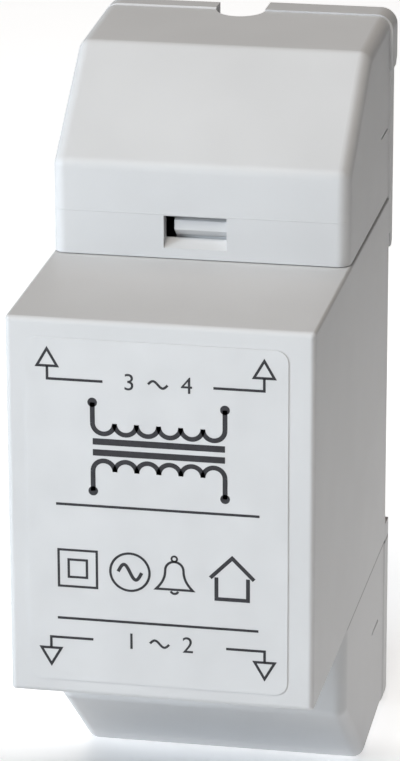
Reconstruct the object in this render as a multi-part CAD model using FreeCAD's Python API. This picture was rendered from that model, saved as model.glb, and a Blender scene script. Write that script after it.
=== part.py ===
import FreeCAD, Part
import math
import os

V = FreeCAD.Vector

# Doorbell transformer, two modules wide, for a 35 mm top-hat rail. Millimetres.
# +Z is up, the rating plate faces -Y, and the rail's front face seats on the plane Y = 0.
# The origin is the middle of that seat.

# Driving sizes of the outside
rail_width = 35.0
shoulder_margin = 5.0
rear_half_width = 17.7
side_draft = 0.2
label_face_y = -53.7
cover_face_y = -29.7
cover_face_rise = 11.1
slope_run = 15.0
slope_rise = 10.7
top_draft = 0.7
lower_slope_rise = 12.0
lower_top_draft = -0.9
rear_depth = 2.8
flange_lip = 0.2

# Walls, roundings and seam gaps of the mouldings
housing_wall = 1.8
cover_wall = 1.6
plate_thickness = 2.6
front_rounding = 0.65
shoulder_rounding = 0.4
cover_rounding = 1.5
cover_inset = 0.15
flange_rounding = 2.0
flange_chamfer = 0.2
seam_gap = 0.12
fit_gap = 0.15

# Window and clip finger that hold each terminal cover
window_centre_x = -0.6
window_width = 7.4
window_sill = 1.3
window_height = 3.9
sill_ramp = 0.9
finger_left_gap = 1.15
finger_right_gap = 0.1
finger_thickness = 1.4
finger_gap = 0.4
finger_nose = 1.3
finger_sill_gap = 1.05
finger_nose_ramp = 1.05
finger_nose_bevel = 0.4
finger_top_gap = 0.25

# Hairline slits that free the covers' side clips
slit_rise = 8.8
slit_length = 5.0
slit_width = 0.25
slit_depth = 0.3
upper_slit_gap = 1.0
lower_slit_gap = 4.0

# Rail recess, hook and the raised seat between them
rail_thickness = 1.0
rail_gap = 0.3
hook_overlap = 1.7
foot_lap = 0.5
seat_margin = 0.3
seat_relief = 0.3

# Cable notches
notch_half_width = 3.0
notch_centre_y = 0.4
notch_web = 0.4
top_notch_x = -0.7
bottom_notch_inset = 4.7

# Corner pad beside the top notch
pad_bottom_z = 38.4
pad_extra_depth = 1.0
pad_side_step = 0.2
pad_chamfer = 0.9

# Arms on the base that catch in the block's side walls
arm_thickness = 1.4
arm_half_height = 5.0
arm_length = 13.0
catch_depth = 0.7
catch_length = 2.0

# Rail latch and its spring
latch_front_y = 0.2
latch_rear_inset = 0.2
latch_top_gap = 0.3
latch_bottom_inset = 0.5
latch_nose_reach = 4.0
latch_nose_inset = 2.3
latch_nose_tip = 0.3
latch_nose_bevel = 2.0
latch_travel = 3.5
channel_wall = 1.6
channel_gap = 0.2
tongue_width = 1.0
tongue_height = 1.2
tongue_bottom_margin = 4.0
latch_window_bar = 5.5
latch_window_length = 11.9
latch_window_half_width = 2.0
post_side_gap = 0.6
post_height = 3.2
spring_wire = 0.4
spring_turns = 3.5
turn_chords = 14
spring_end_gap = 0.02
pull_slot_width = 6.0
pull_slot_height = 1.6
pull_slot_margin = 1.6

# Laminated core, EI 38 pattern: it fills the room inside the housing that these gaps leave
core_front_gap = 4.4
core_rear_gap = 6.5
core_side_gap = 7.7
core_end_gap = 4.7
legs_in_length = 6
lamination_count = 16
lamination_gap = 0.02

# Bobbin and windings
bobbin_wall = 0.8
bobbin_flange = 0.9
bobbin_gap = 0.1
bobbin_side_gap = 1.7
cheek_rounding = 1.0
winding_inset = 0.7
winding_corner = 2.5
tape_thickness = 0.25
cutout_length = 9.0
cutout_width = 4.0
cutout_thickness = 1.3
cutout_rounding = 0.3
pin_width = 0.7
pin_length = 3.0
pin_side_inset = 3.2
pin_rear_inset = 1.8
pin_fit = 0.02

# Terminals
block_half_width = 10.5
block_front_y = -17.0
block_bottom_rise = 3.5
block_rise = 11.0
block_chamfer = 0.6
groove_width = 0.9
groove_depth = 2.5
terminal_x = 5.2
clamp_width = 6.0
clamp_front_y = -12.8
clamp_rear_y = -4.4
clamp_wall = 0.9
clamp_height = 6.0
screw_head_radius = 2.5
screw_head_height = 1.9
screw_head_chamfer = 0.4
screw_shank_radius = 1.5
screw_tip_gap = 1.15
screw_slot = 0.7
screw_slot_depth = 0.9
touch_gap = 0.05
screwdriver_gap = 0.3
wire_entry = 3.4
bar_side_gap = 0.5
bar_thickness = 0.8
bar_rear_gap = 0.2
bar_tail = 2.4
lead_radius = 0.8
lead_bend = 3.0
bend_chords = 4
wire_sides = 6
lead_slot_half_width = 1.6
lead_slot_length = 4.0

# Rating plate sticker
label_left_margin = 2.3
label_right_margin = 3.0
label_top_margin = 2.2
label_bottom_margin = 1.8
label_corner = 1.5
label_thickness = 0.1

# Places that follow from the sizes above
half_block = rail_width / 2 + shoulder_margin
inner_half_height = half_block - housing_wall
front_half_width = rear_half_width - side_draft
cover_bottom_z = half_block + seam_gap
cover_rear_z = half_block + cover_face_rise + slope_rise + top_draft
lower_rear_z = half_block + cover_face_rise + lower_slope_rise + lower_top_draft
cover_rear_y = -seam_gap
flange_top_z = cover_rear_z + flange_lip
recess_bottom_z = -(inner_half_height - foot_lap)
hook_top_z = rail_width / 2 + rail_gap
hook_tip_z = hook_top_z - hook_overlap - rail_gap
bottom_notch_x = rear_half_width - bottom_notch_inset
window_left_x = window_centre_x - window_width / 2
core_front_y = label_face_y + housing_wall + core_front_gap
core_rear_y = -plate_thickness - core_rear_gap
core_centre_y = (core_front_y + core_rear_y) / 2
core_leg = (core_rear_y - core_front_y) / legs_in_length
core_stack = 2 * (front_half_width - housing_wall - core_side_gap)
core_half_height = inner_half_height - core_end_gap
core_window = 2 * (core_half_height - core_leg)
core_centre_leg = 2 * core_leg
latch_rear_y = rear_depth - latch_rear_inset
latch_top_z = recess_bottom_z - latch_top_gap
latch_bottom_z = -flange_top_z + latch_bottom_inset
latch_half_width = bottom_notch_x - notch_half_width - notch_web - channel_wall - channel_gap
latch_nose_z = latch_top_z + latch_nose_reach
latch_window_top = latch_top_z - latch_window_bar
latch_window_bottom = latch_window_top - latch_window_length
post_top_z = latch_window_bottom + channel_gap + post_height
spring_radius = (latch_rear_y - latch_front_y - spring_wire) / 2
channel_front_y = latch_front_y - channel_gap
channel_seat_y = channel_front_y - channel_wall
channel_half_width = latch_half_width + channel_gap
tongue_y = (latch_front_y + latch_rear_y) / 2
seat_top_z = hook_tip_z - seat_margin
seat_bottom_z = latch_nose_z + seat_margin
bar_rear_y = clamp_rear_y - clamp_wall - bar_rear_gap
bar_front_y = bar_rear_y - bar_thickness
bar_width = clamp_width - 2 * (clamp_wall + bar_side_gap)
block_bottom_z = half_block + block_bottom_rise
block_top_z = block_bottom_z + block_rise
screw_z = (block_bottom_z + block_top_z) / 2
wire_y = bar_front_y - wire_entry / 2
hole_half_x = core_stack / 2 + bobbin_gap
hole_half_y = core_centre_leg / 2 + bobbin_gap
tube_half_x = hole_half_x + bobbin_wall
tube_half_y = hole_half_y + bobbin_wall
bobbin_half_x = front_half_width - housing_wall - bobbin_side_gap
bobbin_half_y = core_centre_leg / 2 + core_leg - bobbin_gap
bobbin_half_height = core_window / 2 - bobbin_gap


def box(x0, x1, y0, y1, z0, z1):
    return Part.makeBox(x1 - x0, y1 - y0, z1 - z0, V(x0, y0, z0))


def box_at(x, half_width, y0, y1, z0, z1):
    return box(x - half_width, x + half_width, y0, y1, z0, z1)


def prism(points, direction):
    wire = Part.makePolygon(points + [points[0]])
    return Part.Face(wire).extrude(direction)


def prism_along_x(outline, x0, x1):
    return prism([V(x0, y, z) for y, z in outline], V(x1 - x0, 0, 0))


def prism_along_z(outline, z0, z1):
    return prism([V(x, y, z0) for x, y in outline], V(0, 0, z1 - z0))


def rod(radius, start, direction):
    return Part.makeCylinder(radius, direction.Length, start, direction)


def faceted_wire(route, radius):
    # A six-sided wire with mitred joints along a route of short straight runs keeps the facets few.
    run = (route[1] - route[0]).normalize()
    across = run.cross(V(1, 1, 1)).normalize()
    up = run.cross(across)
    turn = 2 * math.pi / wire_sides
    corners = [route[0] + across * (radius * math.cos(i * turn)) + up * (radius * math.sin(i * turn))
               for i in range(wire_sides)]
    section = Part.makePolygon(corners + [corners[0]])
    mitred = 1
    return Part.makePolygon(route).makePipeShell([section], True, False, mitred)


def rounded_route(points, radius):
    # Straight runs whose corners are rounded by a few chords of a tangent arc.
    route = [points[0]]
    for before, corner, after in zip(points, points[1:], points[2:]):
        u = (before - corner).normalize()
        w = (after - corner).normalize()
        turn = math.pi - u.getAngle(w)
        centre = corner + (u + w).normalize() * (radius / math.cos(turn / 2))
        a = corner + u * (radius * math.tan(turn / 2)) - centre
        b = corner + w * (radius * math.tan(turn / 2)) - centre
        for i in range(bend_chords + 1):
            share = i / bend_chords
            arm = a * math.sin((1 - share) * turn) + b * math.sin(share * turn)
            route.append(centre + arm * (1 / math.sin(turn)))
    return route + [points[-1]]


def mirrored_down(shape):
    return shape.mirror(V(0, 0, 0), V(0, 0, 1))


def edges_where(shape, test):
    return [edge for edge in shape.Edges if test(edge.BoundBox)]


def half_width_at(y):
    # The side walls open towards the rear by the moulding draft.
    share = (y - label_face_y) / (0 - label_face_y)
    return front_half_width + (rear_half_width - front_half_width) * share


def plan_outline(y0, y1, inset=0.0):
    w0 = half_width_at(y0) - inset
    w1 = half_width_at(y1) - inset
    return [(-w0, y0), (w0, y0), (w1, y1), (-w1, y1)]


def offset_line(start, end, distance):
    # Moves a line to the left of its own direction.
    run = end[0] - start[0]
    rise = end[1] - start[1]
    size = math.hypot(run, rise)
    shift = (-rise / size * distance, run / size * distance)
    return (start[0] + shift[0], start[1] + shift[1]), (run, rise)


def crossing(line_a, line_b):
    (ax, ay), (au, av) = line_a
    (bx, by), (bu, bv) = line_b
    t = ((bx - ax) * bv - (by - ay) * bu) / (au * bv - av * bu)
    return ax + au * t, ay + av * t


def inset_chain(points, distance):
    # Each inner corner is where two neighbouring offset lines cross.
    lines = [offset_line(a, b, distance) for a, b in zip(points, points[1:])]
    return [crossing(a, b) for a, b in zip(lines, lines[1:])]


# Centre block: front wall, side walls and both shoulders in one moulding
def clip_finger():
    rear_y = cover_face_y + cover_wall + finger_gap + finger_thickness
    front_y = rear_y - finger_thickness
    top_z = half_block + window_sill + window_height - finger_top_gap
    nose_y = front_y - finger_nose
    nose_z = half_block + window_sill + finger_sill_gap
    outline = [(rear_y, half_block - housing_wall / 2), (front_y, half_block - housing_wall / 2),
               (front_y, nose_z), (nose_y, nose_z + finger_nose_ramp), (nose_y, top_z - finger_nose_bevel),
               (front_y, top_z), (rear_y, top_z)]
    x1 = window_left_x + window_width - finger_right_gap
    return prism_along_x(outline, window_left_x + finger_left_gap, x1)


def lead_slot(side):
    x = side * terminal_x
    return box_at(x, lead_slot_half_width, bar_rear_y - lead_slot_length, bar_rear_y,
                  inner_half_height - 1, half_block + 1)


def front_housing():
    body = prism_along_z(plan_outline(label_face_y, 0), -half_block, half_block)
    front = edges_where(body, lambda b: b.YMax < label_face_y + 0.01)
    body = body.makeFillet(front_rounding, front)
    along = edges_where(body, lambda b: b.YLength > -label_face_y - 2 * front_rounding and b.ZLength < 0.01)
    body = body.makeFillet(shoulder_rounding, along)
    cavity = prism_along_z(plan_outline(label_face_y + housing_wall, 1, housing_wall),
                           -inner_half_height, inner_half_height)
    body = body.cut(cavity)
    for x in (-core_stack / 4, core_stack / 4):
        rib = box_at(x, housing_wall / 2, label_face_y + housing_wall / 2, core_front_y - fit_gap,
                     -core_window / 2, core_window / 2)
        body = body.fuse(rib)
    finger = clip_finger()
    body = body.fuse([finger, mirrored_down(finger)])
    slots = [lead_slot(-1), lead_slot(1)]
    slots += [mirrored_down(slot) for slot in slots]
    channel = box(-channel_half_width - channel_wall - fit_gap, channel_half_width + channel_wall + fit_gap,
                  channel_front_y - channel_wall - fit_gap, 1, -half_block - 1, -inner_half_height + 1)
    catches = [catch_pocket(side) for side in (-1, 1)]
    return body.cut(slots + [channel] + catches).removeSplitter()


# Catches between the base's arms and the block's side walls
def catch_pocket(side):
    y0 = -plate_thickness - arm_length
    wall = half_width_at(y0) - housing_wall
    x0, x1 = sorted((side * (wall - 1), side * (wall + catch_depth)))
    return box(x0, x1, y0 - fit_gap, y0 + catch_length + fit_gap, -arm_half_height - fit_gap,
               arm_half_height + fit_gap)


def base_arm(side):
    y0 = -plate_thickness - arm_length
    outer = half_width_at(y0) - housing_wall - fit_gap
    inner = outer - arm_thickness
    nose = outer + catch_depth - fit_gap
    outline = [(inner, 0.0 - plate_thickness / 2), (outer, 0.0 - plate_thickness / 2),
               (outer, y0 + catch_length), (nose, y0 + catch_length),
               (nose, y0 + catch_length / 2), (outer, y0), (inner, y0)]
    return prism_along_z([(side * x, y) for x, y in outline], -arm_half_height, arm_half_height)


# Rear base: plate, rail hook, corner pad, latch channel, core ribs and the rims behind the covers
def notch(x, z0, z1):
    centre = V(x, notch_centre_y, z0)
    bore = Part.makeCylinder(notch_half_width, z1 - z0, centre, V(0, 0, 1))
    slot = box_at(x, notch_half_width, notch_centre_y, rear_depth + pad_extra_depth + 1, z0, z1)
    return bore.fuse(slot)


def flange(z0, z1):
    plate = box(-rear_half_width, rear_half_width, 0, rear_depth, z0, z1)
    end = z1 if z1 > 0 else z0
    corners = edges_where(plate, lambda b: b.YLength > rear_depth - 0.01 and abs(b.ZMin - end) < 0.01)
    plate = plate.makeFillet(flange_rounding, corners)
    sides = edges_where(plate, lambda b: b.YMax < 0.01 and b.XLength < 0.01 and b.ZLength > flange_rounding)
    return plate.makeChamfer(flange_chamfer, sides)


def corner_pad():
    x0 = top_notch_x + notch_half_width
    x1 = rear_half_width + pad_side_step
    y1 = rear_depth + pad_extra_depth
    pad = box(x0, x1, 0, y1, pad_bottom_z, flange_top_z)
    corner = edges_where(pad, lambda b: b.YLength > y1 - 0.01 and b.XMin > x1 - 0.01
                         and b.ZMin > flange_top_z - 0.01)
    pad = pad.makeFillet(flange_rounding, corner)
    foot = edges_where(pad, lambda b: b.XLength > 1 and b.YMin > y1 - 0.01 and b.ZMax < pad_bottom_z + 0.01)
    return pad.makeChamfer(pad_chamfer, foot)


def rim_reach(rear_z):
    return rear_z - cover_wall - 2 * fit_gap


def locating_rim(rear_z):
    # Low rim that the rear edge of a terminal cover slips over.
    y0 = -plate_thickness / 2
    w = half_width_at(y0) - cover_inset - cover_wall - fit_gap
    z1 = rim_reach(rear_z)
    outer = box(-w, w, y0, 1, cover_bottom_z, z1)
    inner = box(-w + cover_wall, w - cover_wall, y0 - 1, 2, cover_bottom_z - 1, z1 - cover_wall)
    return outer.cut(inner)


def latch_channel():
    w = channel_half_width
    y1 = rear_depth + pad_extra_depth + 1
    hollow = box(-w, w, channel_front_y, y1, -flange_top_z - 1, recess_bottom_z)
    for side in (-1, 1):
        x0, x1 = sorted((side * (w - 1), side * (w + tongue_width)))
        groove = box(x0, x1, tongue_y - tongue_height / 2 - channel_gap / 2,
                     tongue_y + tongue_height / 2 + channel_gap / 2, -flange_top_z - 1, recess_bottom_z)
        hollow = hollow.fuse(groove)
    return hollow


def rear_base():
    w = half_width_at(-plate_thickness) - housing_wall - fit_gap
    plate = box(-w, w, -plate_thickness, 0, -inner_half_height + fit_gap, inner_half_height - fit_gap)
    upper = flange(hook_tip_z, flange_top_z)
    lower = flange(-flange_top_z, recess_bottom_z)
    channel_box = box(-channel_half_width - channel_wall, channel_half_width + channel_wall,
                      channel_seat_y, 1, -rim_reach(lower_rear_z), recess_bottom_z)
    rims = [locating_rim(cover_rear_z), mirrored_down(locating_rim(lower_rear_z))]
    body = plate.fuse([upper, lower, corner_pad(), channel_box] + rims)
    w = rear_half_width + 1
    hook_groove = box(-w, w, -seat_relief, rail_thickness + rail_gap, seat_top_z, hook_top_z)
    foot_relief = box(-w, w, -seat_relief, 0, recess_bottom_z, seat_bottom_z)
    top_notch = notch(top_notch_x, cover_rear_z - 3 * cover_wall, flange_top_z + 1)
    bottom_notch = notch(bottom_notch_x, -flange_top_z - 1, -cover_rear_z + 3 * cover_wall)
    body = body.cut([hook_groove, foot_relief, latch_channel(), top_notch, bottom_notch])
    lead_in = edges_where(body, lambda b: b.XLength > rear_half_width and abs(b.ZMin - hook_tip_z) < 0.01
                          and abs(b.YMin - rear_depth) < 0.01 and b.YLength < 0.01)
    body = body.makeChamfer(rail_thickness / 2, lead_in)
    ribs = []
    for x in (-core_stack / 3, core_stack / 3):
        ribs.append(box_at(x, housing_wall / 2, core_rear_y + fit_gap, -plate_thickness / 2,
                           -core_half_height, core_half_height))
    post_half_width = latch_window_half_width - post_side_gap
    post = box(-post_half_width, post_half_width, channel_front_y - channel_wall / 2,
               latch_rear_y - channel_gap, latch_window_bottom + channel_gap, post_top_z)
    arms = [base_arm(-1), base_arm(1)]
    return body.fuse(ribs + [post] + arms).removeSplitter()


# Terminal covers: front, slope, top and both sides in one shell, open below and behind
def cover_profile(rise, draft):
    foot_z = half_block + cover_face_rise
    head_z = foot_z + rise
    return [(cover_face_y, cover_bottom_z), (cover_face_y, foot_z), (cover_face_y + slope_run, head_z),
            (cover_rear_y, head_z + draft)]


def cover_slit(side, rear_gap):
    wall = half_width_at(cover_rear_y) - cover_inset
    x0, x1 = sorted((side * (wall - slit_depth), side * (wall + 1)))
    y1 = cover_rear_y - rear_gap
    return box(x0, x1, y1 - slit_length, y1, half_block + slit_rise, half_block + slit_rise + slit_width)


def cover_window():
    # The sill rises inwards, so that a screwdriver is led to the finger.
    sill_z = half_block + window_sill
    top_z = sill_z + window_height
    inner_y = cover_face_y + cover_wall
    outline = [(cover_face_y - 1, sill_z), (cover_face_y, sill_z), (inner_y, sill_z + sill_ramp),
               (inner_y + 1, sill_z + sill_ramp), (inner_y + 1, top_z), (cover_face_y - 1, top_z)]
    return prism_along_x(outline, window_left_x, window_left_x + window_width)


def terminal_cover(notch_x, rise, draft, slit_gap):
    profile = cover_profile(rise, draft)
    beyond_x = rear_half_width + 1
    solid = prism_along_x(profile + [(cover_rear_y, cover_bottom_z)], -beyond_x, beyond_x)
    plan = plan_outline(cover_face_y, cover_rear_y, cover_inset)
    solid = solid.common(prism_along_z(plan, 0, 2 * flange_top_z))
    rounded = edges_where(solid, lambda b: b.ZMax > cover_bottom_z + 0.01 and b.YMin < cover_rear_y - 0.01)
    solid = solid.makeFillet(cover_rounding, rounded)
    start, *middle, end = profile
    below = (start[0], start[1] - 2 * cover_wall)
    beyond = (2 * end[0] - middle[-1][0], 2 * end[1] - middle[-1][1])
    chain = [below] + middle + [beyond]
    inner = inset_chain(chain, -cover_wall)
    first = (cover_face_y + cover_wall, below[1])
    reach = offset_line(chain[-2], chain[-1], -cover_wall)[0]
    last = (reach[0] + chain[-1][0] - chain[-2][0], reach[1] + chain[-1][1] - chain[-2][1])
    hollow = prism_along_x([first] + inner + [last, (last[0], below[1])], -beyond_x, beyond_x)
    plan = plan_outline(cover_face_y + cover_wall, 2, cover_inset + cover_wall)
    hollow = hollow.common(prism_along_z(plan, 0, 2 * flange_top_z))
    cable = notch(notch_x, end[1] - 4 * cover_wall, flange_top_z + 1)
    slits = [cover_slit(side, slit_gap) for side in (-1, 1)]
    return solid.cut([hollow, cover_window(), cable] + slits).removeSplitter()


# Rail latch: a slider with a bevelled nose, side tongues, a spring window and a pull slot
def rail_latch():
    side = [(latch_front_y, latch_bottom_z), (latch_rear_y, latch_bottom_z), (latch_rear_y, latch_top_z),
            (latch_front_y, latch_top_z)]
    body = prism_along_x(side, -latch_half_width, latch_half_width)
    nose_front = rail_thickness + rail_gap
    nose = [(nose_front, latch_top_z - 1), (nose_front, latch_nose_z),
            (nose_front + latch_nose_tip, latch_nose_z), (latch_rear_y, latch_nose_z - latch_nose_bevel),
            (latch_rear_y, latch_top_z - 1)]
    nose_half_width = latch_half_width - latch_nose_inset
    body = body.fuse(prism_along_x(nose, -nose_half_width, nose_half_width))
    for s in (-1, 1):
        x0, x1 = sorted((s * (latch_half_width - 0.5), s * (latch_half_width + tongue_width - channel_gap)))
        body = body.fuse(box(x0, x1, tongue_y - tongue_height / 2, tongue_y + tongue_height / 2,
                             latch_bottom_z + tongue_bottom_margin, latch_top_z - latch_travel))
    window = box(-latch_window_half_width, latch_window_half_width, latch_front_y - 1, latch_rear_y + 1,
                 latch_window_bottom, latch_window_top)
    pull_z = latch_bottom_z + pull_slot_margin
    pull = box(-pull_slot_width / 2, pull_slot_width / 2, latch_front_y - 1, latch_rear_y + 1,
               pull_z, pull_z + pull_slot_height)
    return body.cut([window, pull]).removeSplitter()


def coil_rise(turn, length):
    # One closed turn at each end lies against its neighbour. The turns between share the rest of the length.
    closed_pitch = spring_wire + spring_end_gap
    open_pitch = (length - 2 * closed_pitch) / spring_turns
    opened = min(max(turn - 1, 0), spring_turns)
    return (turn - opened) * closed_pitch + opened * open_pitch


def latch_spring():
    z0 = post_top_z + spring_wire / 2 + spring_end_gap
    length = latch_window_top - spring_wire / 2 - spring_end_gap - z0
    centre_y = (latch_front_y + latch_rear_y) / 2
    route = []
    for i in range(round((spring_turns + 2) * turn_chords) + 1):
        turn = i / turn_chords
        angle = 2 * math.pi * turn
        route.append(V(spring_radius * math.cos(angle), centre_y + spring_radius * math.sin(angle),
                       z0 + coil_rise(turn, length)))
    return faceted_wire(route, spring_wire / 2)


# Laminated core: E sheets and I sheets side by side along X
def sheet_stack(outline):
    pitch = core_stack / lamination_count
    sheets = []
    for i in range(lamination_count):
        x0 = -core_stack / 2 + i * pitch
        sheets.append(prism_along_x(outline, x0, x0 + pitch - lamination_gap))
    return Part.makeCompound(sheets)


def core_e():
    y0, y1 = core_front_y, core_rear_y
    c = core_centre_y
    back = -core_half_height
    root = -core_half_height + core_leg
    tip = core_window / 2
    half = core_centre_leg / 2
    outline = [(y0, back), (y1, back), (y1, tip), (y1 - core_leg, tip), (y1 - core_leg, root),
               (c + half, root), (c + half, tip), (c - half, tip), (c - half, root),
               (y0 + core_leg, root), (y0 + core_leg, tip), (y0, tip)]
    return sheet_stack(outline)


def core_i():
    z0 = core_window / 2
    z1 = z0 + core_leg
    outline = [(core_front_y, z0), (core_rear_y, z0), (core_rear_y, z1), (core_front_y, z1)]
    return sheet_stack(outline)


# Two-chamber bobbin on the centre leg
def rounded_block(half_x, half_y, z0, z1, radius):
    block = box(-half_x, half_x, core_centre_y - half_y, core_centre_y + half_y, z0, z1)
    return block.makeFillet(radius, edges_where(block, lambda b: b.ZLength > z1 - z0 - 0.01))


def bobbin():
    tube = box(-tube_half_x, tube_half_x, core_centre_y - tube_half_y, core_centre_y + tube_half_y,
               -bobbin_half_height, bobbin_half_height)
    cheeks = []
    for z0 in (-bobbin_half_height, -bobbin_flange / 2, bobbin_half_height - bobbin_flange):
        cheeks.append(rounded_block(bobbin_half_x, bobbin_half_y, z0, z0 + bobbin_flange, cheek_rounding))
    hole = box(-hole_half_x, hole_half_x, core_centre_y - hole_half_y, core_centre_y + hole_half_y,
               -core_window, core_window)
    pins = [pin_hole(side, z) for side in (-1, 1) for z in (-1, 1)]
    return tube.fuse(cheeks).cut([hole] + pins).removeSplitter()


def square_pin(side, width, z0, z1):
    x = side * (bobbin_half_x - pin_side_inset)
    y = core_centre_y + bobbin_half_y - pin_rear_inset
    return box(x - width / 2, x + width / 2, y - width / 2, y + width / 2, min(z0, z1), max(z0, z1))


def pin_hole(side, up):
    z = up * bobbin_half_height
    return square_pin(side, pin_width + 2 * pin_fit, z + up, z - up * bobbin_flange / 2)


def bobbin_pins():
    pins = []
    for side in (-1, 1):
        for up in (-1, 1):
            z = up * (bobbin_half_height - bobbin_flange / 2)
            pins.append(square_pin(side, pin_width, z, z + up * pin_length))
    return Part.makeCompound(pins)


def chamber(up):
    z0 = bobbin_flange / 2 + bobbin_gap / 2
    z1 = bobbin_half_height - bobbin_flange - bobbin_gap / 2
    return (z0, z1) if up > 0 else (-z1, -z0)


def winding(up):
    z0, z1 = chamber(up)
    half_x = bobbin_half_x - winding_inset
    outer = rounded_block(half_x, bobbin_half_y - winding_inset, z0, z1, winding_corner)
    half_y = tube_half_y + bobbin_gap / 2
    core = box_at(0, tube_half_x + bobbin_gap / 2, core_centre_y - half_y, core_centre_y + half_y,
                  z0 - 1, z1 + 1)
    return outer.cut(core)


def winding_tape():
    bands = []
    for up in (-1, 1):
        z0, z1 = chamber(up)
        inset = winding_inset - bobbin_gap / 2
        inner = rounded_block(bobbin_half_x - inset, bobbin_half_y - inset, z0 - 1, z1 + 1, winding_corner)
        inset -= tape_thickness
        outer = rounded_block(bobbin_half_x - inset, bobbin_half_y - inset, z0, z1,
                              winding_corner + tape_thickness)
        bands.append(outer.cut(inner))
    return Part.makeCompound(bands)


def thermal_cutout():
    z0, z1 = chamber(-1)
    x0 = bobbin_half_x - winding_inset + bobbin_gap / 2 + tape_thickness + touch_gap
    middle = (z0 + z1) / 2
    half_length = cutout_length / 2
    body = box(x0, x0 + cutout_thickness, core_centre_y - half_length, core_centre_y + half_length,
               middle - cutout_width / 2, middle + cutout_width / 2)
    return body.makeFillet(cutout_rounding, edges_where(body, lambda b: b.YLength > cutout_length - 0.01))


# Terminal blocks with their clamps, screws and contact bars; the lower set is the upper one turned over
def terminal_block(seat_y):
    body = box_at(0, block_half_width, block_front_y, seat_y, block_bottom_z, block_top_z)
    body = body.makeChamfer(block_chamfer, edges_where(body, lambda b: b.YMax < block_front_y + 0.01))
    cuts = []
    for side in (-1, 1):
        x = side * terminal_x
        half_height = clamp_height / 2 + fit_gap
        cuts.append(box_at(x, clamp_width / 2 + fit_gap, clamp_front_y - fit_gap, clamp_rear_y + fit_gap,
                           screw_z - half_height, screw_z + half_height))
        funnel = V(x, block_front_y - 1, screw_z)
        cuts.append(rod(screw_head_radius + screwdriver_gap, funnel,
                        V(0, clamp_front_y - block_front_y + 2, 0)))
        cuts.append(box_at(x, wire_entry / 2, wire_y - wire_entry / 2, wire_y + wire_entry / 2,
                           screw_z, block_top_z + 1))
        cuts.append(box_at(x, bar_width / 2 + fit_gap, bar_front_y - fit_gap, bar_rear_y + fit_gap,
                           block_bottom_z - 1, screw_z))
    groove = box_at(0, groove_width / 2, block_front_y - 1, block_front_y + groove_depth,
                    block_bottom_z - 1, block_top_z + 1)
    return body.cut(cuts + [groove])


def clamps():
    cages = []
    for side in (-1, 1):
        x = side * terminal_x
        z0 = screw_z - clamp_height / 2
        z1 = screw_z + clamp_height / 2
        cage = box_at(x, clamp_width / 2, clamp_front_y, clamp_rear_y, z0, z1)
        mouth = box_at(x, clamp_width / 2 - clamp_wall, clamp_front_y + 2 * clamp_wall,
                       clamp_rear_y - clamp_wall, z0 - 1, z1 + 1)
        before = V(x, clamp_front_y - 1, screw_z)
        thread = rod(screw_shank_radius + touch_gap, before, V(0, 2 * clamp_wall + 2, 0))
        cages.append(cage.cut([mouth, thread]))
    return Part.makeCompound(cages)


def terminal_screws():
    screws = []
    for side in (-1, 1):
        x = side * terminal_x
        seat_y = clamp_front_y - touch_gap
        face_y = seat_y - screw_head_height
        head = rod(screw_head_radius, V(x, face_y, screw_z), V(0, screw_head_height, 0))
        rim = edges_where(head, lambda b: b.YMax < face_y + 0.01)
        head = head.makeChamfer(screw_head_chamfer, rim)
        tip_y = bar_front_y - screw_tip_gap
        shank = rod(screw_shank_radius, V(x, face_y + screw_slot_depth, screw_z),
                    V(0, tip_y - face_y - screw_slot_depth, 0))
        slot = box_at(x, screw_head_radius + 1, face_y - 1, face_y + screw_slot_depth,
                      screw_z - screw_slot / 2, screw_z + screw_slot / 2)
        screws.append(head.fuse(shank).cut(slot))
    return Part.makeCompound(screws)


def contact_bars():
    bars = []
    for side in (-1, 1):
        bars.append(box_at(side * terminal_x, bar_width / 2, bar_front_y, bar_rear_y,
                           block_bottom_z - bar_tail, screw_z - fit_gap))
    return Part.makeCompound(bars)


def lead_wires():
    wires = []
    for side in (-1, 1):
        pin = square_pin(side, pin_width, 0, 1).CenterOfMass
        start = V(pin.x, pin.y, bobbin_half_height - bobbin_flange / 2 + pin_length + touch_gap)
        level_z = (core_half_height + inner_half_height) / 2
        lift = V(pin.x, pin.y, level_z)
        slot_y = bar_front_y - lead_radius - touch_gap
        under = V(side * terminal_x, slot_y, level_z)
        end = V(side * terminal_x, slot_y, block_bottom_z - 2 * fit_gap)
        wires.append(faceted_wire(rounded_route([start, lift, under, end], lead_bend), lead_radius))
    return Part.makeCompound(wires)


# Rating plate sticker on the front wall
def rating_label():
    sheet = box(-front_half_width + label_left_margin, front_half_width - label_right_margin,
                label_face_y - label_thickness, label_face_y,
                -half_block + label_bottom_margin, half_block - label_top_margin)
    return sheet.makeFillet(label_corner, edges_where(sheet, lambda b: b.YLength > label_thickness - 0.001))


nodes = {
    "front_housing": front_housing(),
    "rear_base": rear_base(),
    "upper_terminal_cover": terminal_cover(top_notch_x, slope_rise, top_draft, upper_slit_gap),
    "lower_terminal_cover": mirrored_down(terminal_cover(bottom_notch_x, lower_slope_rise, lower_top_draft,
                                                         lower_slit_gap)),
    "rail_latch": rail_latch(),
    "latch_spring": latch_spring(),
    "rating_label": rating_label(),
    "core_e_sheets": core_e(),
    "core_i_sheets": core_i(),
    "bobbin": bobbin(),
    "bobbin_pins": bobbin_pins(),
    "primary_winding": winding(-1),
    "secondary_winding": winding(1),
    "winding_tape": winding_tape(),
    "thermal_cutout": thermal_cutout(),
    "secondary_terminal_block": terminal_block(0),
    "primary_terminal_block": mirrored_down(terminal_block(channel_seat_y)),
    "secondary_clamps": clamps(),
    "primary_clamps": mirrored_down(clamps()),
    "secondary_screws": terminal_screws(),
    "primary_screws": mirrored_down(terminal_screws()),
    "secondary_contact_bars": contact_bars(),
    "primary_contact_bars": mirrored_down(contact_bars()),
    "secondary_leads": lead_wires(),
    "primary_leads": mirrored_down(lead_wires()),
}

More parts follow.
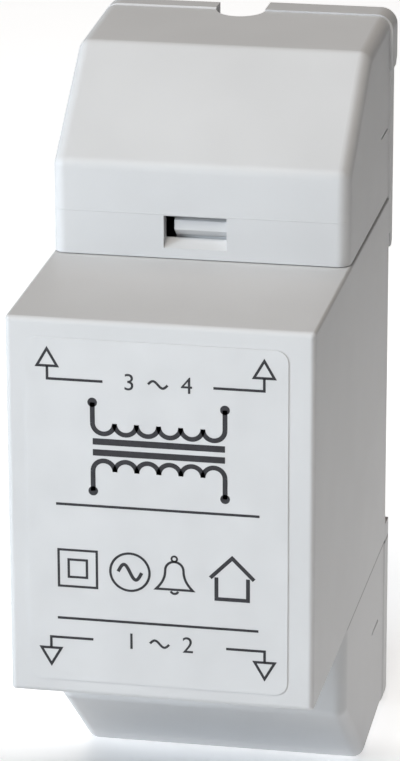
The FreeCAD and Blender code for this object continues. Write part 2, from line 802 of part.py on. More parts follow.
os.makedirs("parts", exist_ok=True)
for name, shape in nodes.items():
    shape.exportStep("parts/" + name + ".step")
    b = shape.BoundBox
    print(name, "valid" if shape.isValid() else "INVALID", "solids", len(shape.Solids),
          "volume", round(shape.Volume, 1), "x %.2f %.2f" % (b.XMin, b.XMax),
          "y %.2f %.2f" % (b.YMin, b.YMax), "z %.2f %.2f" % (b.ZMin, b.ZMax))
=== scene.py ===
import math

import bpy
import numpy as np
from mathutils import Matrix, Vector


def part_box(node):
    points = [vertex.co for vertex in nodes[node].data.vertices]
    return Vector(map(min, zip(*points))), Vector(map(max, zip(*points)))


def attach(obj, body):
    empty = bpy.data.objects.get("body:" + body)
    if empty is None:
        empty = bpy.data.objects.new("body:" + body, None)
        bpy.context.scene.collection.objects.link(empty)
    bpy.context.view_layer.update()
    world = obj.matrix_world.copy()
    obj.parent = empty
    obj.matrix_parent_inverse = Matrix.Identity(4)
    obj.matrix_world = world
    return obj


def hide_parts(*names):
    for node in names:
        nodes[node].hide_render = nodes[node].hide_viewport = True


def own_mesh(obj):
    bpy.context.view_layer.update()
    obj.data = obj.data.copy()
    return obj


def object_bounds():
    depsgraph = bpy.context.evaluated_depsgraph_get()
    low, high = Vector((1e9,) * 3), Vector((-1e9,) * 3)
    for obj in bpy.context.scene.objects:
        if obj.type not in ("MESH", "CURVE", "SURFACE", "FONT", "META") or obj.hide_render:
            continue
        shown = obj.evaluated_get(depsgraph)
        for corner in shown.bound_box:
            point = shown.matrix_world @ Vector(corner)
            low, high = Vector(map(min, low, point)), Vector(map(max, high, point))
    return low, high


# Doorbell transformer for a mounting rail, in light grey moulded plastic.
# Sizes are in millimetres here and become metres where a mesh is made.

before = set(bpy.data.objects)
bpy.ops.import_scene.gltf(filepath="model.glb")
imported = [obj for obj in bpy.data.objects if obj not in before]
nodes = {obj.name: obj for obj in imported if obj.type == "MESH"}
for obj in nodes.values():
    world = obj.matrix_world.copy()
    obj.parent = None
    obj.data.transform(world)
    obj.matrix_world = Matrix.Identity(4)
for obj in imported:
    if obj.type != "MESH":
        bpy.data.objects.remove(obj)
cadLow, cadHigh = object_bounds()
mm = 0.001
print("frame loaded:", len(nodes), "CAD nodes")


# Nodes and colours

def toLinear(hexColour):
    # each sRGB channel c becomes c / 12.92 below 0.04045 and ((c + 0.055) / 1.055) ^ 2.4 above
    channels = [int(hexColour[i:i + 2], 16) / 255 for i in (1, 3, 5)]
    linear = [c / 12.92 if c <= 0.04045 else ((c + 0.055) / 1.055) ** 2.4 for c in channels]
    return (*linear, 1.0)


def addNode(tree, kind, settings=None, links=None):
    # settings fills sockets and properties by name, links joins sockets to other nodes' outputs
    node = tree.nodes.new(kind)
    for name, value in (settings or {}).items():
        if isinstance(name, int) or name in node.inputs:
            node.inputs[name].default_value = value
        else:
            setattr(node, name, value)
    for name, source in (links or {}).items():
        tree.links.new(source, node.inputs[name])
    return node


def startMaterial(name):
    material = bpy.data.materials.new(name)
    material.use_nodes = True
    tree = material.node_tree
    tree.nodes.clear()
    place = addNode(tree, "ShaderNodeTexCoord").outputs["Object"]
    return material, tree, place


def endMaterial(tree, settings, links):
    shader = addNode(tree, "ShaderNodeBsdfPrincipled", settings, links)
    addNode(tree, "ShaderNodeOutputMaterial", links={"Surface": shader.outputs["BSDF"]})


def noise(tree, place, size, detail=3.0, roughness=0.5):
    # one lump of the noise is about size millimetres across
    settings = {"Scale": 1 / (size * mm), "Detail": detail, "Roughness": roughness}
    return addNode(tree, "ShaderNodeTexNoise", settings, {"Vector": place}).outputs["Fac"]


def spread(tree, value, low, high):
    # maps the middle of a noise, 0.3 to 0.7, to low..high
    settings = {"From Min": 0.3, "From Max": 0.7, "To Min": low, "To Max": high}
    return addNode(tree, "ShaderNodeMapRange", settings, {"Value": value}).outputs["Result"]


def fade(tree, value, limits, low, high):
    # goes smoothly from low to high between two limits in millimetres
    settings = {"interpolation_type": "SMOOTHSTEP", "From Min": limits[0] * mm, "From Max": limits[1] * mm,
                "To Min": low, "To Max": high}
    return addNode(tree, "ShaderNodeMapRange", settings, {"Value": value}).outputs["Result"]


def multiply(tree, values):
    product = values[0]
    for value in values[1:]:
        node = addNode(tree, "ShaderNodeMath", {"operation": "MULTIPLY"}, {0: product, 1: value})
        product = node.outputs["Value"]
    return product


def blendColours(tree, value, dark, light):
    settings = {"data_type": "RGBA", 6: toLinear(dark), 7: toLinear(light)}
    return addNode(tree, "ShaderNodeMix", settings, {0: value}).outputs[2]


def bumps(tree, heights):
    # stacks height fields, each given as (height, depth in millimetres)
    normal = None
    for height, depth in heights:
        links = {"Height": height}
        if normal is not None:
            links["Normal"] = normal
        node = addNode(tree, "ShaderNodeBump", {"Strength": 1.0, "Distance": depth * mm}, links)
        normal = node.outputs["Normal"]
    return normal


# Materials

# sizes and depths of the patterns are in millimetres
housingLook = {"dark": "#CBCBCC", "light": "#D1D1D2", "cloud": 18.0, "flow": 9.0, "flowDepth": 0.024,
               "grain": 0.22, "grainDepth": 0.004, "roughness": (0.46, 0.54), "specular": 0.3}
# the mould's parting line crosses the upper cover's front
partingLine = {"z": 27.85, "halfWidth": 0.12, "height": 0.03, "frontY": (-29.5, -29.2)}
# painted shade: the seam between the block and the lower cover is darkened in colour on the right-hand side,
# standing in for the shadow in the gap
seamHeight = 0.12
paintedSeamShade = {"z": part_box("lower_terminal_cover")[1].z / mm + seamHeight / 2, "halfWidth": 0.42,
            "y": (-29.2, -28.8), "x": (17.0, 17.3), "amount": 0.9, "colour": "#6E6C6C"}


def levelLine(tree, height, line):
    # one on a level line, falling to nothing at half its width above and below
    settings = {"operation": "SUBTRACT", 1: line["z"] * mm}
    offset = addNode(tree, "ShaderNodeMath", settings, {0: height}).outputs["Value"]
    away = addNode(tree, "ShaderNodeMath", {"operation": "ABSOLUTE"}, {0: offset}).outputs["Value"]
    return fade(tree, away, (0, line["halfWidth"]), 1.0, 0.0)


def mouldedAbs(name, look, ridge=None):
    # satin ABS from a spark-eroded mould: an even grey skin with a fine grain and a broad soft sheen
    material, tree, place = startMaterial(name)
    cloud = noise(tree, place, look["cloud"], 2.0)
    grain = noise(tree, place, look["grain"], 2.0, 0.6)
    flow = noise(tree, place, look["flow"], 1.0)
    low, high = look["roughness"]
    axes = addNode(tree, "ShaderNodeSeparateXYZ", links={"Vector": place}).outputs
    colour = blendColours(tree, spread(tree, cloud, 0.0, 1.0), look["dark"], look["light"])
    # painted shade: the housing's colour is darkened in a thin band along the seam over the lower cover, on
    # the right-hand side only
    seamShadeMask = multiply(tree, [levelLine(tree, axes["Z"], paintedSeamShade),
                           fade(tree, axes["Y"], paintedSeamShade["y"], 0.0, 1.0),
                           fade(tree, axes["X"], paintedSeamShade["x"], 0.0, paintedSeamShade["amount"])])
    colour = addNode(tree, "ShaderNodeMix", {"data_type": "RGBA", 7: toLinear(paintedSeamShade["colour"])},
                     {0: seamShadeMask, 6: colour}).outputs[2]
    heights = [(flow, look["flowDepth"]), (grain, look["grainDepth"])]
    if ridge:
        front = fade(tree, axes["Y"], ridge["frontY"], 1.0, 0.0)
        heights.append((multiply(tree, [levelLine(tree, axes["Z"], ridge), front]), ridge["height"]))
    normal = bumps(tree, heights)
    endMaterial(tree, {"IOR": 1.54, "Specular IOR Level": look["specular"]},
                {"Base Color": colour, "Roughness": spread(tree, grain, low, high), "Normal": normal})
    return material


labelLook = {"dark": "#CDCDCE", "light": "#D2D2D3", "ripple": 6.0, "rippleDepth": 0.012, "fibre": 0.12,
             "fibreDepth": 0.001, "roughness": (0.38, 0.44), "specular": 0.35}


def polyesterLabel(look):
    # matt polyester film: smoother than the plastic round it, with a hint of ripple from the glue under it
    material, tree, place = startMaterial("polyesterLabelFilm")
    ripple = noise(tree, place, look["ripple"], 1.0)
    fibre = noise(tree, place, look["fibre"], 1.0)
    low, high = look["roughness"]
    colour = blendColours(tree, spread(tree, ripple, 0.0, 1.0), look["dark"], look["light"])
    normal = bumps(tree, [(ripple, look["rippleDepth"]), (fibre, look["fibreDepth"])])
    endMaterial(tree, {"IOR": 1.5, "Specular IOR Level": look["specular"]},
                {"Base Color": colour, "Roughness": spread(tree, fibre, low, high), "Normal": normal})
    return material


inkLook = {"dark": "#232226", "light": "#2F2E33", "film": 0.5, "roughness": (0.5, 0.6)}


def screenInk(look):
    # screen-printed black ink: nearly matt, a little thinner in places
    material, tree, place = startMaterial("screenPrintedInk")
    film = noise(tree, place, look["film"], 2.0)
    low, high = look["roughness"]
    colour = blendColours(tree, spread(tree, film, 0.0, 1.0), look["dark"], look["light"])
    endMaterial(tree, {"IOR": 1.5}, {"Base Color": colour, "Roughness": spread(tree, film, low, high)})
    return material


metalLook = {"streak": 0.25, "streakDepth": 0.003, "cloud": 3.0}


def plainMetal(name, dark, light, roughness, stretch):
    # rolled or drawn metal: streaks, stretched along one axis where it was rolled, and slow changes of shade
    material, tree, place = startMaterial(name)
    stretched = addNode(tree, "ShaderNodeMapping", {"Scale": stretch}, {"Vector": place}).outputs["Vector"]
    streaks = noise(tree, stretched, metalLook["streak"], 2.0)
    cloud = noise(tree, place, metalLook["cloud"], 2.0)
    colour = blendColours(tree, spread(tree, cloud, 0.0, 1.0), dark, light)
    low, high = roughness
    endMaterial(tree, {"Metallic": 1.0},
                {"Base Color": colour, "Roughness": spread(tree, streaks, low, high),
                 "Normal": bumps(tree, [(streaks, metalLook["streakDepth"])])})
    return material


windingLook = {"dark": "#5E2410", "light": "#B3602E", "wireWidth": 0.35, "ridge": 0.12}


def enamelledWinding(look):
    # layers of lacquered copper wire: ridges of one wire's width round the coil, under a clear lacquer
    material, tree, place = startMaterial("enamelledCopperWinding")
    # a wave's bands repeat every 2 pi / 20 of its scaled coordinate
    settings = {"wave_type": "BANDS", "bands_direction": "Z", "Distortion": 0.4, "Detail": 1.0,
                "Scale": math.pi / 10 / (look["wireWidth"] * mm)}
    turns = addNode(tree, "ShaderNodeTexWave", settings, {"Vector": place}).outputs["Fac"]
    colour = blendColours(tree, turns, look["dark"], look["light"])
    endMaterial(tree, {"Metallic": 1.0, "Coat Weight": 0.6, "Coat Roughness": 0.15, "Roughness": 0.32},
                {"Base Color": colour, "Normal": bumps(tree, [(turns, look["ridge"])])})
    return material


tapeLook = {"dark": "#B98B14", "light": "#D9AE2A", "wrinkle": 2.2, "wrinkleDepth": 0.05}


def tapeFilm(look):
    # yellow polyester winding tape: glossy, with small wrinkles where it was pulled round
    material, tree, place = startMaterial("polyesterWindingTape")
    wrinkle = noise(tree, place, look["wrinkle"], 3.0)
    colour = blendColours(tree, spread(tree, wrinkle, 0.0, 1.0), look["dark"], look["light"])
    endMaterial(tree, {"IOR": 1.6, "Roughness": 0.22},
                {"Base Color": colour, "Normal": bumps(tree, [(wrinkle, look["wrinkleDepth"])])})
    return material


smallPlasticLook = {"cloud": 4.0, "skin": 0.3, "skinDepth": 0.003}


def plainPlastic(name, dark, light, roughness):
    # small moulded or extruded parts: one colour with a slow drift of shade and a faint skin
    material, tree, place = startMaterial(name)
    cloud = noise(tree, place, smallPlasticLook["cloud"], 2.0)
    skin = noise(tree, place, smallPlasticLook["skin"], 2.0)
    colour = blendColours(tree, spread(tree, cloud, 0.0, 1.0), dark, light)
    low, high = roughness
    endMaterial(tree, {"IOR": 1.52},
                {"Base Color": colour, "Roughness": spread(tree, skin, low, high),
                 "Normal": bumps(tree, [(skin, smallPlasticLook["skinDepth"])])})
    return material


housingPlastic = mouldedAbs("mouldedAbsLightGrey", housingLook)
coverPlastic = mouldedAbs("mouldedAbsUpperCover", housingLook, partingLine)
labelFilm = polyesterLabel(labelLook)
ink = screenInk(inkLook)
laminationSteel = plainMetal("siliconSteelSheet", "#4A4C50", "#5E6064", (0.38, 0.55), (10, 1, 1))
springSteel = plainMetal("springSteelWire", "#8A8A86", "#A9A9A4", (0.25, 0.38), (1, 1, 1))
tinnedWire = plainMetal("tinnedCopperPin", "#B9B8B4", "#CDCCC8", (0.22, 0.34), (1, 1, 0.1))
zincSteel = plainMetal("zincPlatedSteel", "#A9ADB2", "#C4C8CC", (0.24, 0.38), (1, 1, 1))
contactBrass = plainMetal("rolledBrassStrip", "#A98442", "#C9A562", (0.25, 0.4), (1, 1, 0.1))
winding = enamelledWinding(windingLook)
tape = tapeFilm(tapeLook)
bobbinNylon = plainPlastic("mouldedNylonNatural", "#CFC8B4", "#DDD7C6", (0.42, 0.52))
terminalPlastic = plainPlastic("mouldedPolyamideGrey", "#B9BAB8", "#C6C7C5", (0.42, 0.52))
cutoutPlastic = plainPlastic("mouldedPhenolicBlack", "#151515", "#222222", (0.45, 0.6))
blackInsulation = plainPlastic("extrudedPvcBlack", "#0F0F10", "#1A1A1B", (0.36, 0.46))
blueInsulation = plainPlastic("extrudedPvcBlue", "#173A86", "#1F4699", (0.36, 0.46))

finishes = {
    "front_housing": housingPlastic, "rear_base": housingPlastic, "upper_terminal_cover": coverPlastic,
    "lower_terminal_cover": housingPlastic, "rail_latch": housingPlastic, "rating_label": labelFilm,
    "latch_spring": springSteel, "core_e_sheets": laminationSteel, "core_i_sheets": laminationSteel,
    "bobbin": bobbinNylon, "bobbin_pins": tinnedWire, "winding_tape": tape, "thermal_cutout": cutoutPlastic,
    "primary_winding": winding, "secondary_winding": winding,
    "primary_terminal_block": terminalPlastic, "secondary_terminal_block": terminalPlastic,
    "primary_clamps": zincSteel, "secondary_clamps": zincSteel,
    "primary_screws": zincSteel, "secondary_screws": zincSteel,
    "primary_contact_bars": contactBrass, "secondary_contact_bars": contactBrass,
    "primary_leads": blueInsulation, "secondary_leads": blackInsulation,
}
for name, piece in nodes.items():
    piece.data.materials.clear()
    piece.data.materials.append(finishes[name])
print("materials:", len(bpy.data.materials))


# Print on the front label

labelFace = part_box("rating_label")[0].y / mm
inkThickness = 0.015
sharpestCosine = 0.35   # a strip's corner isn't drawn sharper than this


def unit(vectors):
    return vectors / np.maximum(np.linalg.norm(vectors, axis=-1, keepdims=True), 1e-12)


def stroke(points, width, closed=False):
    # a flat strip: every point goes half the width to each side, along the bisector of its two runs,
    # divided by the cosine of half the turn so that the strip keeps its width round corners
    line = np.asarray(points, float)
    before = np.roll(line, 1, axis=0)
    after = np.roll(line, -1, axis=0)
    if not closed:
        before[0] = 2 * line[0] - line[1]
        after[-1] = 2 * line[-1] - line[-2]
    inRun = unit(line - before)
    bisector = unit(inRun + unit(after - line))
    cosine = np.maximum((bisector * inRun).sum(1, keepdims=True), sharpestCosine)
    side = bisector @ np.array([[0.0, 1.0], [-1.0, 0.0]]) * width / 2 / cosine
    front = np.full((len(line), 1), labelFace - inkThickness)
    back = np.full((len(line), 1), labelFace)
    left, right = line + side, line - side
    corners = [(left, front), (right, front), (right, back), (left, back)]
    rings = np.stack([np.column_stack([c[:, 0], depth[:, 0], c[:, 1]]) for c, depth in corners], axis=1)
    count = len(line)
    runs = count if closed else count - 1
    i, j = np.meshgrid(np.arange(runs), np.arange(4), indexing="ij")
    k, nextJ = (i + 1) % count, (j + 1) % 4
    faces = np.stack([i * 4 + j, i * 4 + nextJ, k * 4 + nextJ, k * 4 + j], axis=-1).reshape(-1, 4).tolist()
    if not closed:
        last = (count - 1) * 4
        faces += [[3, 2, 1, 0], [last, last + 1, last + 2, last + 3]]
    return rings.reshape(-1, 3), faces


def filled(outline):
    # a flat plate of ink: the outline twice, in front and behind, joined by a rim
    line = np.asarray(outline, float)
    count = len(line)
    front = np.column_stack([line[:, 0], np.full(count, labelFace - inkThickness), line[:, 1]])
    back = front + np.array([0.0, inkThickness, 0.0])
    k = np.arange(count)
    rim = np.column_stack([k, (k + 1) % count, (k + 1) % count + count, k + count]).tolist()
    return np.vstack([front, back]), [k[::-1].tolist(), (k + count).tolist()] + rim


def arc(centre, radius, start, end, steps=24):
    # points at equal angles from start to end, in degrees; a closed circle stops a step short of 360
    angle = np.radians(np.linspace(start, end, steps))
    return np.column_stack([centre[0] + radius * np.cos(angle), centre[1] + radius * np.sin(angle)])


def makePiece(name, shapes, material, body="housing"):
    # joins several (points, faces) shapes into one mesh, in metres
    points, faces, start = [], [], 0
    for shapePoints, shapeFaces in shapes:
        points.append(shapePoints * mm)
        faces += [[index + start for index in face] for face in shapeFaces]
        start += len(shapePoints)
    mesh = bpy.data.meshes.new(name)
    mesh.from_pydata(np.vstack(points), [], faces)
    mesh.validate()
    mesh.materials.append(material)
    piece = bpy.data.objects.new(name, mesh)
    bpy.context.scene.collection.objects.link(piece)
    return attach(piece, body)


def tilde(centre, length, height, steps=25):
    # one period of a sine
    t = np.linspace(0, 1, steps)
    return np.column_stack([centre[0] + length * (t - 0.5), centre[1] + height / 2 * np.sin(2 * math.pi * t)])


arrowRow = {
    "width": 0.3, "head": 1.15, "headHeight": 2.0,
    "top": {"left": -12.7, "right": 11.8, "tip": 19.0, "bar": 15.5, "inner": (-6.4, 6.1)},
    "bottom": {"left": -12.7, "right": 11.9, "tip": -18.85, "bar": -15.5, "inner": (-7.8, 7.5)},
}


def arrows(row):
    shapes = []
    for place in ("top", "bottom"):
        at = row[place]
        away = math.copysign(1, at["tip"])
        for x, inner in zip((at["left"], at["right"]), at["inner"]):
            base = at["tip"] - away * row["headHeight"]
            head = [(x - row["head"], base), (x, at["tip"]), (x + row["head"], base)]
            shapes.append(stroke(head, row["width"], closed=True))
            shapes.append(stroke([(x, base), (x, at["bar"]), (inner, at["bar"])], row["width"]))
    return shapes


makePiece("labelTerminalArrows", arrows(arrowRow), ink)

ruleLines = {"width": 0.3, "left": -11.9, "upper": (11.3, 0.7), "lower": (11.2, -13.1)}
rules = [stroke([(ruleLines["left"], z), (x, z)], ruleLines["width"])
         for x, z in (ruleLines["upper"], ruleLines["lower"])]
makePiece("labelRules", rules, ink)

# Winding diagram: two coils on a core, with their four ends
diagram = {"width": 0.55, "left": -7.6, "turns": 6, "radius": 1.25, "upperCoil": 10.6, "lowerCoil": 4.9,
           "coreLines": (7.1, 8.4), "coreWidth": 0.75, "tail": 2.4, "dot": 0.55}


def coilShapes(look, z, side):
    # half circles side by side, towards the core, and a straight tail away from it at each end
    radius, width = look["radius"], look["width"]
    centres = look["left"] + radius * (2 * np.arange(look["turns"]) + 1)
    shapes = [stroke(arc((x, z), radius, 180, 180 + side * 180, 19), width) for x in centres]
    ends = (centres[0] - radius, centres[-1] + radius)
    return shapes + [stroke([(x, z), (x, z + side * look["tail"])], width) for x in ends]


def windingDiagram(look):
    right = look["left"] + 2 * look["radius"] * look["turns"]
    shapes = coilShapes(look, look["upperCoil"], 1) + coilShapes(look, look["lowerCoil"], -1)
    for z in look["coreLines"]:
        shapes.append(stroke([(look["left"], z), (right, z)], look["coreWidth"]))
    for x in (look["left"], right):
        for z in (look["upperCoil"] + look["tail"], look["lowerCoil"] - look["tail"]):
            shapes.append(filled(arc((x, z), look["dot"], 0, 345, 24)))
    return shapes


makePiece("labelWindingDiagram", windingDiagram(diagram), ink)

# Row of plain signs: double square, wave in a circle, bell, house
# waveLength and waveHeight are times the circle's radius, and wall is times half the house's size
# waveWidth, knobWidth and lineWidth are times the row's width of line
signs = {
    "width": 0.28, "z": -7.0,
    "squares": {"x": -9.5, "outer": 4.4, "inner": 2.1},
    "circle": {"x": -3.5, "radius": 2.25, "waveLength": 1.2, "waveHeight": 0.8, "waveWidth": 1.4},
    "bell": {"x": 1.6, "width": 4.2, "shoulder": 0.55, "drop": 2.3, "flare": 2.2,
             "knobHeight": 1.95, "knobRadius": 0.32, "knobWidth": 0.8,
             "clapperHeight": -1.8, "clapperRadius": 0.45, "clapperArc": (200, 340)},
    "house": {"x": 8.2, "size": 5.0, "wall": 0.72, "eaves": 0.1, "lineWidth": 1.6},
}


def square(centre, size):
    half = size / 2
    x, z = centre
    return [(x - half, z - half), (x + half, z - half), (x + half, z + half), (x - half, z + half)]


def bellOutline(bell, z):
    # a half circle over two sides that flare out to the rim:
    # their distance from the middle is a quarter of the width times 1 + (way down) ^ flare
    x, top = bell["x"], z + bell["shoulder"]
    quarter = bell["width"] / 4
    dome = arc((x, top), quarter, 0, 180, 15)
    way = np.linspace(0, 1, 9)
    right = np.column_stack([x + quarter * (1 + way ** bell["flare"]), top - bell["drop"] * way])
    left = right * [-1, 1] + [2 * x, 0]
    return np.vstack([right[::-1], dome[1:-1], left])


def bellSign(bell, z, width):
    x = bell["x"]
    knob = arc((x, z + bell["knobHeight"]), bell["knobRadius"], 0, 345, 16)
    start, end = bell["clapperArc"]
    clapper = arc((x, z + bell["clapperHeight"]), bell["clapperRadius"], start, end, 12)
    return [stroke(bellOutline(bell, z), width, closed=True),
            stroke(knob, width * bell["knobWidth"], closed=True), stroke(clapper, width)]


def houseSign(house, z, width):
    # a wall open at the top, under a roof that meets its eaves
    x, half = house["x"], house["size"] / 2
    side, eaves = half * house["wall"], z + house["eaves"]
    wall = [(x - side, eaves), (x - side, z - half), (x + side, z - half), (x + side, eaves)]
    roof = [(x - half, z), (x, z + half), (x + half, z)]
    return [stroke(line, width * house["lineWidth"]) for line in (wall, roof)]


def signRow(look):
    z, width = look["z"], look["width"]
    squares, circle = look["squares"], look["circle"]
    shapes = []
    for size in (squares["outer"], squares["inner"]):
        shapes.append(stroke(square((squares["x"], z), size), width, closed=True))
    centre, radius = (circle["x"], z), circle["radius"]
    shapes.append(stroke(arc(centre, radius, 0, 352, 45), width, closed=True))
    wave = tilde(centre, radius * circle["waveLength"], radius * circle["waveHeight"])
    shapes.append(stroke(wave, width * circle["waveWidth"]))
    return shapes + bellSign(look["bell"], z, width) + houseSign(look["house"], z, width)


makePiece("labelSigns", signRow(signs), ink)

# Plain terminal numbers either side of a wave, between the arrows
# the built-in face's figures are lower than its size, so the size is the height times sizePerHeight
numbers = {"height": 2.0, "sizePerHeight": 1.38, "x": (-3.4, 3.1),
           "rows": ((15.5, "3", "4"), (-15.5, "1", "2")),
           "waveLength": 2.2, "waveHeight": 0.8, "waveWidth": 0.28}


def writtenNumber(name, text, x, z):
    letters = bpy.data.curves.new(name, "FONT")
    letters.body = text
    letters.size = numbers["height"] * mm * numbers["sizePerHeight"]
    letters.align_x = "CENTER"
    letters.align_y = "CENTER"
    letters.extrude = inkThickness * mm / 2
    source = bpy.data.objects.new(name, letters)
    bpy.context.scene.collection.objects.link(source)
    bpy.context.view_layer.update()
    mesh = bpy.data.meshes.new_from_object(source)
    bpy.data.objects.remove(source)
    upright = Matrix.Rotation(math.pi / 2, 4, "X")
    place = Matrix.Translation(Vector((x, labelFace - inkThickness / 2, z)) * mm)
    mesh.transform(place @ upright)
    mesh.materials.clear()
    mesh.materials.append(ink)
    piece = bpy.data.objects.new(name, mesh)
    bpy.context.scene.collection.objects.link(piece)
    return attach(piece, "housing")


left, right = numbers["x"]
waves = []
for z, first, second in numbers["rows"]:
    writtenNumber("labelNumber" + first, first, left, z)
    writtenNumber("labelNumber" + second, second, right, z)
    wave = tilde(((left + right) / 2, z), numbers["waveLength"], numbers["waveHeight"])
    waves.append(stroke(wave, numbers["waveWidth"]))
makePiece("labelWaves", waves, ink)
print("label print done")


# Latch spring, seen through the latch's window
# It stands on a post of the base; the latch slides down by travel.
springLook = {"wire": 0.4, "openTurns": 3.5, "gap": 0.02, "travel": 3.5, "stepsPerTurn": 24, "sides": 12}
springLow, springHigh = (np.array(corner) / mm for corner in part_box("latch_spring"))


def coilSpring(look):
    # a circle carried along a helix: the height rises by the wire's thickness and a small gap over the
    # closed turn at each end, and evenly over the open turns between them
    wire, sides = look["wire"], look["sides"]
    turn = np.linspace(0, look["openTurns"] + 2, round((look["openTurns"] + 2) * look["stepsPerTurn"]) + 1)
    opened = np.clip(turn - 1, 0, look["openTurns"])
    closedPitch = wire + look["gap"]
    openPitch = (springHigh[2] - springLow[2] - wire - 2 * closedPitch) / look["openTurns"]
    height = springLow[2] + wire / 2 + (turn - opened) * closedPitch + opened * openPitch
    angle = 2 * math.pi * turn
    outward = np.column_stack([np.cos(angle), np.sin(angle), np.zeros(len(turn))])
    radius = (springHigh[0] - springLow[0] - wire) / 2
    middle = (springLow[1] + springHigh[1]) / 2
    path = outward * radius + np.column_stack([np.zeros(len(turn)), np.full(len(turn), middle), height])
    across = np.cross(unit(np.gradient(path, axis=0)), outward)
    around = 2 * math.pi * np.arange(sides) / sides
    rings = path[:, None] + wire / 2 * (np.cos(around)[:, None] * outward[:, None]
                                        + np.sin(around)[:, None] * across[:, None])
    i, j = np.meshgrid(np.arange(len(turn) - 1), np.arange(sides), indexing="ij")
    k = (j + 1) % sides
    faces = np.stack([i * sides + j, i * sides + k, (i + 1) * sides + k, (i + 1) * sides + j], axis=-1)
    last = (len(turn) - 1) * sides
    caps = [list(range(sides))[::-1], list(range(last, last + sides))]
    return rings.reshape(-1, 3), faces.reshape(-1, 4).tolist() + caps


spring = makePiece("latchSpringCoil", [coilSpring(springLook)], springSteel)
spring.data.shade_smooth()
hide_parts("latch_spring")
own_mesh(spring)
print("latch spring done")


# Floor, light and camera

# a round white board that curves up at its rim, with painted light: its emission glows in soft pools, a long
# one behind the object and a small one on the object's right, and the long pool is left out in a disc in
# front of the object as a painted shadow; far is the glow beyond the long pool
floorLook = {
    "flat": 2200.0, "reach": 3000.0, "rise": 500.0, "rimSteps": 13, "angleStep": 7.5,
    "dark": "#F2F2F3", "light": "#F5F5F5", "cloud": 60.0, "far": 0.06,
    "long": {"glow": 0.64, "at": (-82, 170), "stretch": 0.45, "edge": (135, 250)},
    "shade": {"at": (0, -230), "stretch": 1.0, "edge": (205, 225)},
    "small": {"glow": 0.6, "at": (78, -45), "stretch": 1.0, "edge": (15, 80)},
}


def fromPool(tree, place, pool):
    # distance from a pool's centre, with the distance in Y multiplied by the pool's stretch
    scale = (1.0, pool["stretch"], 1.0)
    centre = (pool["at"][0] * mm, pool["at"][1] * mm * pool["stretch"], cadLow.z)
    scaled = addNode(tree, "ShaderNodeVectorMath", {"operation": "MULTIPLY", 1: scale}, {0: place})
    settings = {"operation": "DISTANCE", 1: centre}
    return addNode(tree, "ShaderNodeVectorMath", settings, {0: scaled.outputs["Vector"]}).outputs["Value"]


def floorGlow(tree, place, look):
    # painted light: the floor glows in pools, and a disc of painted shadow is left without glow in front of
    # the object
    long, shade, small = look["long"], look["shade"], look["small"]
    away = fromPool(tree, place, long)
    lit = fade(tree, fromPool(tree, place, shade), shade["edge"], 0.0, long["glow"])
    glow = multiply(tree, [lit, fade(tree, away, long["edge"], 1.0, 0.0)])
    for part in (fade(tree, away, long["edge"], 0.0, look["far"]),
                 fade(tree, fromPool(tree, place, small), small["edge"], small["glow"], 0.0)):
        glow = addNode(tree, "ShaderNodeMath", {"operation": "ADD"}, {0: glow, 1: part}).outputs["Value"]
    return glow


def paintedFloor(look):
    # matt white studio board; its emission, from floorGlow, is painted light in soft pools, with a disc of
    # painted shadow in front of the object
    material, tree, place = startMaterial("mattWhiteBoardPaintedGlow")
    cloud = noise(tree, place, look["cloud"], 2.0)
    colour = blendColours(tree, spread(tree, cloud, 0.0, 1.0), look["dark"], look["light"])
    endMaterial(tree, {"Roughness": 0.9, "Emission Color": (1, 1, 1, 1)},
                {"Base Color": colour, "Emission Strength": floorGlow(tree, place, look)})
    # the rim's height grows with the square of the way from flat to reach
    way = np.linspace(0, 1, look["rimSteps"])
    radii = np.concatenate([[1.0], look["flat"] + (look["reach"] - look["flat"]) * way])
    heights = np.concatenate([[0.0], look["rise"] * way ** 2])
    angles = np.radians(np.arange(0, 360, look["angleStep"]))
    count = len(angles)
    ring = np.stack([np.cos(angles), np.sin(angles)], axis=-1)
    points = np.concatenate([np.column_stack([ring * radius, np.full(count, height)])
                             for radius, height in zip(radii, heights)])
    i, j = np.meshgrid(np.arange(len(radii) - 1), np.arange(count), indexing="ij")
    k = (j + 1) % count
    faces = np.stack([i * count + j, (i + 1) * count + j, (i + 1) * count + k, i * count + k], axis=-1)
    faces = faces.reshape(-1, 4).tolist() + [list(range(count))]
    mesh = bpy.data.meshes.new("studioFloor")
    mesh.from_pydata(points * mm + np.array([0.0, 0.0, cadLow.z]), [], faces)
    mesh.shade_smooth()
    mesh.materials.append(material)
    floor = bpy.data.objects.new("studioFloor", mesh)
    bpy.context.scene.collection.objects.link(floor)


# positions, aims and sizes in millimetres, power in watts
lamps = {
    "leftFront": {"at": (-560, -420, 160), "aim": (0, 0, 0), "size": 300, "power": 4.2, "colour": "#E9F5FF"},
    "frontSteep": {"at": (-60, -420, 640), "aim": (0, 0, 0), "size": 300, "power": 3.2, "colour": "#FFFBF4"},
    "frontLow": {"at": (-60, -760, 20), "aim": (0, 0, 0), "size": 450, "power": 0.4, "colour": "#F0F8FF"},
    "topBack": {"at": (-60, 250, 700), "aim": (0, 0, 0), "size": 300, "power": 0.65, "colour": "#FFEFE4"},
}


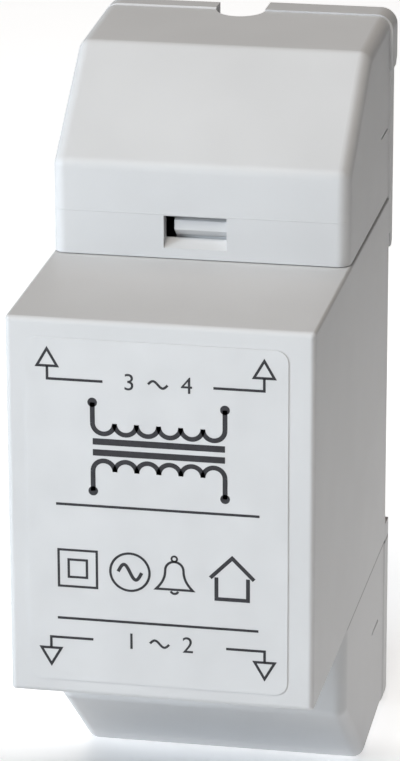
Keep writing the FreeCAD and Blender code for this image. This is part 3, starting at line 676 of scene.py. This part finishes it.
def softBox(name, look):
    light = bpy.data.lights.new(name, "AREA")
    light.size = look["size"] * mm
    light.energy = look["power"]
    light.color = toLinear(look["colour"])[:3]
    lamp = bpy.data.objects.new(name, light)
    lamp.location = Vector(look["at"]) * mm
    lamp.rotation_mode = "QUATERNION"
    away = lamp.location - Vector(look["aim"]) * mm   # a lamp shines along its own -Z
    lamp.rotation_quaternion = away.to_track_quat("Z", "Y")
    bpy.context.scene.collection.objects.link(lamp)


paintedFloor(floorLook)
for name, look in lamps.items():
    softBox(name, look)

worldLook = {"colour": "#F6F8FA", "strength": 0.02}
world = bpy.data.worlds.new("studioWorld")
world.use_nodes = True
background = world.node_tree.nodes["Background"]
background.inputs["Color"].default_value = toLinear(worldLook["colour"])
background.inputs["Strength"].default_value = worldLook["strength"]
bpy.context.scene.world = world

# angles in degrees, lens and sensor in millimetres, clip in metres
cameraPlace = {"at": (83.50, -460.45, 159.19), "yaw": 10.98, "pitch": 19.03, "roll": 0.185,
               "lens": 188.1, "sensor": 36.0, "clip": (0.01, 20.0)}


def photoCamera(look):
    # the camera looks along +Y, turned by yaw to the left and by pitch downwards, then rolls about its own
    # axis: ahead = (-sin yaw cos pitch, cos yaw cos pitch, -sin pitch)
    yaw, pitch, roll = (math.radians(look[key]) for key in ("yaw", "pitch", "roll"))
    level = Vector((math.cos(yaw), math.sin(yaw), 0))
    ahead = Vector((-math.sin(yaw) * math.cos(pitch), math.cos(yaw) * math.cos(pitch), -math.sin(pitch)))
    above = level.cross(ahead)
    right = math.cos(roll) * level - math.sin(roll) * above
    up = math.sin(roll) * level + math.cos(roll) * above
    lens = bpy.data.cameras.new("photoCamera")
    lens.lens = look["lens"]
    lens.sensor_width = look["sensor"]
    lens.clip_start, lens.clip_end = look["clip"]
    view = bpy.data.objects.new("photoCamera", lens)
    turn = Matrix((right, up, -ahead)).transposed().to_4x4()
    view.matrix_world = Matrix.Translation(Vector(look["at"]) * mm) @ turn
    bpy.context.scene.collection.objects.link(view)
    bpy.context.scene.camera = view


photoCamera(cameraPlace)
bpy.context.scene.view_settings.view_transform = "Standard"
print("floor, lights and camera done")
